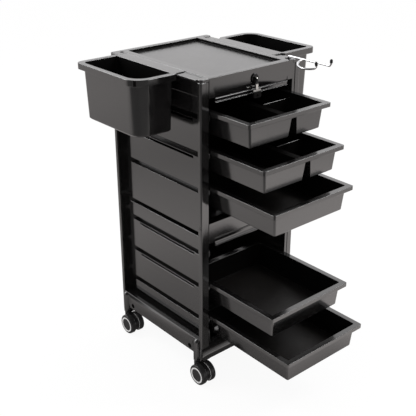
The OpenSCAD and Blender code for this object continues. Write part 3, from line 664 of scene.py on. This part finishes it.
FITTING_SAME_CORNER = 0.000001
FITTING_ROUND_ANGLE = radians(40.0)


def finish_piece(piece, name, slot, body):
    """Names a modelled piece, turns its faces outwards, hands it to a body and lists it."""
    focus(piece)
    bpy.ops.object.mode_set(mode="EDIT")
    bpy.ops.mesh.select_all(action="SELECT")
    bpy.ops.mesh.remove_doubles(threshold=FITTING_SAME_CORNER)
    bpy.ops.mesh.normals_make_consistent(inside=False)
    bpy.ops.object.mode_set(mode="OBJECT")
    bpy.ops.object.transform_apply(location=True, rotation=True, scale=True)
    bpy.ops.object.shade_smooth_by_angle(angle=FITTING_ROUND_ANGLE)
    piece.name = name
    paint(piece, slot)
    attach(piece, body)
    FITTINGS[name] = piece


# The box of the accessory hole's faces that get painted shade, from its place on top of the tray.
HOLE_LOW = Vector((-0.009, -0.009, -0.012))
HOLE_HIGH = Vector((0.009, 0.009, -0.0006))

hole_place = met(PLACING_POINTS["accessory_hole"], [MOULDINGS["top_tray"]])[0]
hole_place.z = tray_high.z
refinish(
    MOULDINGS["top_tray"], "painted_shade", hole_place + HOLE_LOW, hole_place + HOLE_HIGH, least=ANY_RISE
)

PLUG_RADIUS = 0.0032
PLUG_LENGTH = 0.002
PLUG_BEVEL = 0.0005
PLUG_SIDES = 32


def corner_plug(name, place, normal):
    """A small round plug in a base corner: a bevelled disc that is half sunk in the surface."""
    deselect()
    bpy.ops.mesh.primitive_cylinder_add(
        vertices=PLUG_SIDES, radius=PLUG_RADIUS, depth=PLUG_LENGTH, location=place
    )
    made = bpy.context.object
    made.rotation_euler = normal.to_track_quat("Z", "Y").to_euler()
    bpy.ops.object.mode_set(mode="EDIT")
    bpy.ops.mesh.select_all(action="SELECT")
    bpy.ops.mesh.bevel(offset=PLUG_BEVEL, segments=2)
    bpy.ops.object.mode_set(mode="OBJECT")
    finish_piece(made, name, "lock_black", body_of_node("base_frame"))


# The pale bead on a wheel's shoulder: how far it stands out, half its width, and how far in from the
# tread it lies.
TREAD_LINE_OUT = 0.0004
TREAD_LINE_HALF = 0.0005
TREAD_LINE_EDGE = 0.0032
TREAD_LINE_STEPS = 72


def tread_line(wheel, towards):
    """The pale bead round a wheel's shoulder on its fork side: a small face spun about the axle."""
    low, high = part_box(wheel)
    middle = (low + high) / 2.0
    radius = (high.z - low.z) / 2.0 - TREAD_LINE_EDGE
    side = high.x if towards > 0 else low.x
    deselect()
    bpy.ops.mesh.primitive_plane_add(size=1.0, location=(side, middle.y, middle.z + radius))
    made = bpy.context.object
    made.scale = (2.0 * TREAD_LINE_OUT, 2.0 * TREAD_LINE_HALF, 1.0)
    made.rotation_euler = (pi / 2.0, 0.0, 0.0)
    bpy.ops.object.transform_apply(location=True, rotation=True, scale=True)
    bpy.ops.object.mode_set(mode="EDIT")
    bpy.ops.mesh.select_all(action="SELECT")
    bpy.ops.mesh.spin(steps=TREAD_LINE_STEPS, angle=2.0 * pi, center=middle, axis=(1.0, 0.0, 0.0))
    bpy.ops.object.mode_set(mode="OBJECT")
    finish_piece(made, wheel + "_tread_line", "ring_plastic", body_of_node(wheel))


# The image point is on the front left plug, and the other three are its mirror images.
plug_place, plug_normal = met(PLACING_POINTS["base_plug"], [MOULDINGS["base_frame"]])
base_low, base_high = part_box("base_frame")
base_middle = (base_low + base_high) / 2.0
for side, side_name in ((1, "left"), (-1, "right")):
    for end, end_name in ((1, "front"), (-1, "rear")):
        mirrored = Vector((side, end, 1.0))
        plug_name = "%s_%s_base_plug" % (end_name, side_name)
        mirrored_place = base_middle + mirrored * (plug_place - base_middle)
        corner_plug(plug_name, mirrored_place, mirrored * plug_normal)

for corner_name in CORNERS:
    outward = -1 if corner_name.endswith("left") else 1
    tread_line(corner_name + "_inner_wheel", outward)
    tread_line(corner_name + "_outer_wheel", -outward)

# ---------------------------------------------------------------- studio

FLOOR_SIZE = 16.0
FLOOR_COLOUR = (0.93, 0.93, 0.93, 1.0)
WALL_COLOUR = (1.0, 0.985, 0.99, 1.0)

# How bright the white is that the camera sees, and the plain light that the walls give.
CAMERA_WHITE = 1.03
AMBIENT = 0.75
# How much of the floor's look is its own white, to the camera and in the shine.
FLOOR_GLOW = 0.9
# How bright the walls are in the shine: level, overhead, and on the side where the studio ends.
HORIZON = 1.15
OVERHEAD = 0.12
UNLIT = 0.1

# The studio's white sweep as the plastic mirrors it. It is dim close to the trolley, brightest at
# the front right, and ends on the side that the photograph was taken from. Each stop is a distance
# in metres from the trolley's outline and a brightness.
OUTLINE_HALF = (0.17, 0.33)
SWEEP_REACH = 3.0
SWEEP_TINT = (1.0, 0.94, 0.92)
LEFT_SWEEP = ((0.0, 0.12), (0.15, 0.33), (0.45, 0.52), (0.65, 0.62), (1.1, 0.5), (1.4, 0.4), (2.4, 0.6))
RIGHT_SWEEP = ((0.0, 0.08), (0.1, 0.6), (0.2, 1.1), (1.0, 1.08), (1.25, 0.9), (1.45, 0.72), (2.4, 0.8))

# Where the right sweep takes over from the left one, and where both end: the distance along a way
# from the trolley's middle, and the share.
BRIGHT_WAY = (0.65, -0.76, 0.0)
ENDING_WAY = (-0.65, -0.76, 0.0)
WAY_REACH = 2.0
RIGHT_SHARE = ((-0.32, 0.0), (0.32, 1.0))
FLOOR_ENDING = ((0.48, 1.0), (1.2, UNLIT))

# The walls by how steeply the shine looks up, and by how far it looks along the ending way.
WALL_BY_RISE = ((0.5, HORIZON), (0.85, OVERHEAD))
WALL_ENDING = ((0.1, 1.0), (0.5, UNLIT))


def light_path(recipe, *kinds):
    """1 for the kinds of ray that are named, such as Camera or Glossy."""
    path = recipe.node("ShaderNodeLightPath", {}, {})
    outputs = path.socket.node.outputs
    found = [Signal(recipe, outputs["Is %s Ray" % kind]) for kind in kinds]
    total = found[0]
    for other in found[1:]:
        total = total + other
    return total.at_most(1.0)


def sweep(recipe, stops):
    """How bright the sweep is at a place, by its distance from the trolley's outline."""
    across = (abs(recipe.along((1.0, 0.0, 0.0))) - OUTLINE_HALF[0]).at_least(0.0)
    ahead = (abs(recipe.along((0.0, 1.0, 0.0))) - OUTLINE_HALF[1]).at_least(0.0)
    distance = (across * across + ahead * ahead) ** 0.5
    shares = [(stop / SWEEP_REACH, level) for stop, level in stops]
    return recipe.levels(distance * (1.0 / SWEEP_REACH), *shares)


def share_along(recipe, way, stops):
    """A share by how far a place of the floor lies along a way from the trolley's middle."""
    shares = [(0.5 + 0.5 * stop / WAY_REACH, level) for stop, level in stops]
    return recipe.levels(recipe.along(way) * (0.5 / WAY_REACH) + 0.5, *shares)


def make_floor():
    """A pale floor: white to the camera, and the sweep in the shine."""
    bpy.ops.mesh.primitive_plane_add(size=FLOOR_SIZE, location=(0.0, 0.0, 0.0))
    floor = bpy.context.object
    floor.name = "studio_floor"
    recipe = new_finish("studio_floor")
    recipe.set(base_color=FLOOR_COLOUR, roughness=0.9)
    right = share_along(recipe, BRIGHT_WAY, RIGHT_SHARE)
    swept = right * sweep(recipe, RIGHT_SWEEP) + (1.0 - right) * sweep(recipe, LEFT_SWEEP)
    lit = swept * share_along(recipe, ENDING_WAY, FLOOR_ENDING)
    glossy = light_path(recipe, "Glossy")
    nodes = recipe.tree.nodes
    links = recipe.tree.links
    glow = nodes.new("ShaderNodeEmission")
    recipe.feed(glow.inputs["Color"], recipe.mixed(glossy, (1.0, 1.0, 1.0), SWEEP_TINT))
    recipe.feed(glow.inputs["Strength"], (1.0 - glossy) * CAMERA_WHITE + glossy * lit)
    mix = nodes.new("ShaderNodeMixShader")
    recipe.feed(mix.inputs["Fac"], light_path(recipe, "Camera", "Glossy", "Transmission") * FLOOR_GLOW)
    links.new(nodes["Principled BSDF"].outputs["BSDF"], mix.inputs[1])
    links.new(glow.outputs["Emission"], mix.inputs[2])
    links.new(mix.outputs["Shader"], nodes["Material Output"].inputs["Surface"])
    floor.data.materials.append(recipe.owner)


def make_walls():
    """The world: white to the camera, a plain light on the object, and the walls in the shine."""
    world = bpy.data.worlds.new("studio")
    bpy.context.scene.world = world
    recipe = Recipe(world, "Generated")
    rise = recipe.node("ShaderNodeSeparateXYZ", {}, {"Vector": recipe.place}, "Z")
    wall = recipe.levels(rise, *WALL_BY_RISE) * recipe.levels(recipe.along(ENDING_WAY), *WALL_ENDING)
    camera_ray = light_path(recipe, "Camera", "Transmission")
    glossy_ray = light_path(recipe, "Glossy")
    other_ray = 1.0 - light_path(recipe, "Camera", "Transmission", "Glossy")
    background = recipe.tree.nodes["Background"]
    background.inputs["Color"].default_value = WALL_COLOUR
    strength = camera_ray * CAMERA_WHITE + glossy_ray * wall + other_ray * AMBIENT
    recipe.feed(background.inputs["Strength"], strength)


# Each soft lamp's place and power. All aim at the middle of the trolley.
LAMP_WIDTH = 1.2
LAMP_HEIGHT = 1.0
LAMP_AIM = Vector((0.0, 0.0, 0.45))
LAMPS = {
    "key_light": (Vector((1.78, -1.36, 2.77)), 30.0),
    "left_light": (Vector((-1.2, 1.97, 2.43)), 22.0),
}


def make_lamp(name, place, power):
    data = bpy.data.lights.new(name, "AREA")
    data.shape = "RECTANGLE"
    data.size = LAMP_WIDTH
    data.size_y = LAMP_HEIGHT
    data.energy = power
    made = bpy.data.objects.new(name, data)
    bpy.context.scene.collection.objects.link(made)
    made.location = place
    made.rotation_euler = (LAMP_AIM - place).to_track_quat("-Z", "Y").to_euler()
    made.visible_camera = False


deselect()
make_floor()
make_walls()
for lamp_name, (lamp_place, lamp_power) in LAMPS.items():
    make_lamp(lamp_name, lamp_place, lamp_power)
bpy.context.scene.view_settings.view_transform = "Standard"

# ---------------------------------------------------------------- points and size

# A corner still shows when the sightline meets a face this little before it.
SIGHT_SLACK = 0.002
EDGE_WAYS = {"left": (-1, 0), "right": (1, 0), "top": (0, -1), "bottom": (0, 1)}


def shows(tree, corner):
    """Whether nothing stands between the camera and a corner."""
    start = camera.matrix_world.translation
    way = corner - start
    distance = tree.ray_cast(start, way.normalized())[3]
    return distance is None or distance > way.length - SIGHT_SLACK


def outermost(tree, corners, way):
    """The image place furthest along a way of the image, of the corners that show."""
    for corner in sorted(corners, key=lambda corner: -image_place(corner).dot(way)):
        if shows(tree, corner):
            return image_place(corner)
    return image_place(corners[0])


def away(place, point):
    return [round(place[0] - point[0], 2), round(place[1] - point[1], 2)]


def middle_shown(tree, piece):
    """The middle of the image box of the corners of a piece that show."""
    corners = placed_corners(piece)
    seen = [image_place(corner) for corner in corners if shows(tree, corner)]
    seen = seen or [image_place(corners[0])]
    spans = [[place[axis] for place in seen] for axis in (0, 1)]
    return [(min(span) + max(span)) / 2.0 for span in spans]


def write_points():
    """How far in x and y each thing shows from its point."""
    pieces = finished_pieces()
    tree, corners = surface_of(pieces.values())
    for edge, way in EDGE_WAYS.items():
        seen = outermost(tree, corners, Vector(way))
    for name, (node, outward, point) in CORNER_POINTS.items():
        owned = placed_corners(pieces[node])
        away(image_place(max(owned, key=lambda corner: corner.dot(Vector(outward)))), point)
    for name, (node, point) in MIDDLE_POINTS.items():
        away(middle_shown(tree, pieces[node]), point)
    # The hole's offset tells where its painted shade was placed. The bore itself isn't measured.
    away(image_place(hole_place), PLACING_POINTS["accessory_hole"])
    plug_shown = middle_shown(tree, FITTINGS["front_left_base_plug"])
    away(plug_shown, PLACING_POINTS["base_plug"])


write_points()
